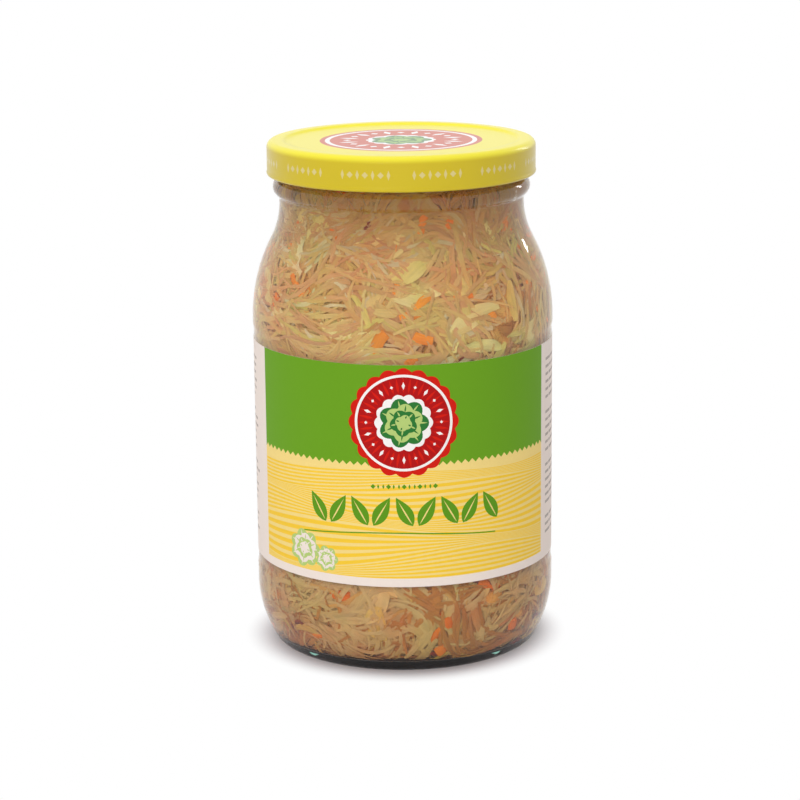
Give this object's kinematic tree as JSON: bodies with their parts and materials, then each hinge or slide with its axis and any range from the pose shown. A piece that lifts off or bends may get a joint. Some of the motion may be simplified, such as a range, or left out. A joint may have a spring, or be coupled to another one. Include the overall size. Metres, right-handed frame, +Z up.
{
  "type": "sauerkraut jar",
  "caption": "Shut round glass preserving jar with sloping shoulder, twist cap and wrap label, packed with shredded pickled cabbage and carrot in brine.",
  "frame": {"origin": "centre of the jar's base, on the surface that it stands on", "axes": "+Z up along the jar's axis; the front of the label faces -Y, its glued overlap faces +Y"},
  "size_m": [0.0954, 0.0954, 0.1618],
  "materials": {
    "glass": "clear moulded flint glass, polished by fire",
    "lacquered_tinplate": "yellow lacquer on pressed tinplate, gloss, with a printed round emblem",
    "sealing_compound": "soft matte sealing compound",
    "label_paper": "coated paper, satin, printed in green, yellow and red fields",
    "pickled_cabbage": "wet translucent shreds, cream to tan, with orange carrot",
    "brine": "clear straw-coloured liquid"
  },
  "bodies": {
    "root": {"jar": "glass", "lid": "lacquered_tinplate", "sealing_ring": "sealing_compound", "label": "label_paper", "sauerkraut": "pickled_cabbage", "brine": "brine"}
  },
  "joints": []
}
